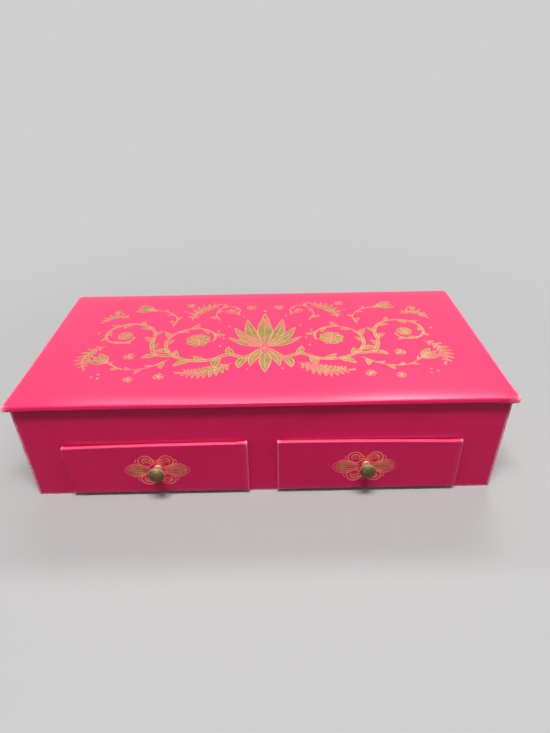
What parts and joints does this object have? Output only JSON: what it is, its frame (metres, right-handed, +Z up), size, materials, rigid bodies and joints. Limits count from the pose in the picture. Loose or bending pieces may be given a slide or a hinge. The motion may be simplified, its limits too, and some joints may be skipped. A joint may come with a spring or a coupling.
{
  "type": "stationery chest",
  "caption": "Low covered-board chest with a hinged padded lid over a divided compartment and two drawers with small round knobs side by side below.",
  "frame": {"origin": "middle of the case's underside, on the surface the chest stands on", "axes": "+X to the right along the front, +Y to the back, +Z up"},
  "size_m": [0.343, 0.1819, 0.0846],
  "materials": {
    "leatherette": "satin grained leatherette with gold stamping",
    "greyboard": "plain grey board",
    "lining_paper": "plain ivory lining paper",
    "base_paper": "plain dark paper",
    "wadding": "thin white wadding",
    "ribbon": "woven satin ribbon",
    "brass": "aged brass, dulled",
    "steel": "plain steel"
  },
  "bodies": {
    "case": {"back_board": "greyboard", "bottom_board": "greyboard", "bottom_sheet": "base_paper", "case_cover": "leatherette", "compartment_lining": "lining_paper", "front_wall": "greyboard", "hinge_case_leaf": "leatherette", "left_bay_left_guide": "greyboard", "left_bay_right_guide": "greyboard", "left_side_board": "greyboard", "letter_divider": "lining_paper", "right_bay_left_guide": "greyboard", "right_bay_right_guide": "greyboard", "right_side_board": "greyboard", "shelf_board": "greyboard", "stay_ribbon": "ribbon"},
    "lid": {"hinge_lid_leaf": "leatherette", "lid_board": "greyboard", "lid_cover": "leatherette", "lid_lining": "lining_paper", "lid_padding": "wadding"},
    "left_drawer": {"left_drawer_front_board": "greyboard", "left_drawer_front_cover": "leatherette", "left_knob": "brass", "left_knob_screw": "steel", "left_knob_washer": "steel", "left_tray_back": "greyboard", "left_tray_bottom": "greyboard", "left_tray_front": "greyboard", "left_tray_left_side": "greyboard", "left_tray_lining": "lining_paper", "left_tray_right_side": "greyboard"},
    "right_drawer": {"right_drawer_front_board": "greyboard", "right_drawer_front_cover": "leatherette", "right_knob": "brass", "right_knob_screw": "steel", "right_knob_washer": "steel", "right_tray_back": "greyboard", "right_tray_bottom": "greyboard", "right_tray_front": "greyboard", "right_tray_left_side": "greyboard", "right_tray_lining": "lining_paper", "right_tray_right_side": "greyboard"}
  },
  "joints": [
    {"name": "lid_hinge", "type": "hinge", "parent": "case", "child": "lid", "pos_m": [0, 0.0838, 0.0801], "axis": [-1, 0, 0], "range_deg": [0, 100], "deforming": ["stay_ribbon"]},
    {"name": "left_drawer_slide", "type": "slide", "parent": "case", "child": "left_drawer", "axis": [0, -1, 0], "range_m": [0, 0.145]},
    {"name": "right_drawer_slide", "type": "slide", "parent": "case", "child": "right_drawer", "axis": [0, -1, 0], "range_m": [0, 0.145]}
  ]
}
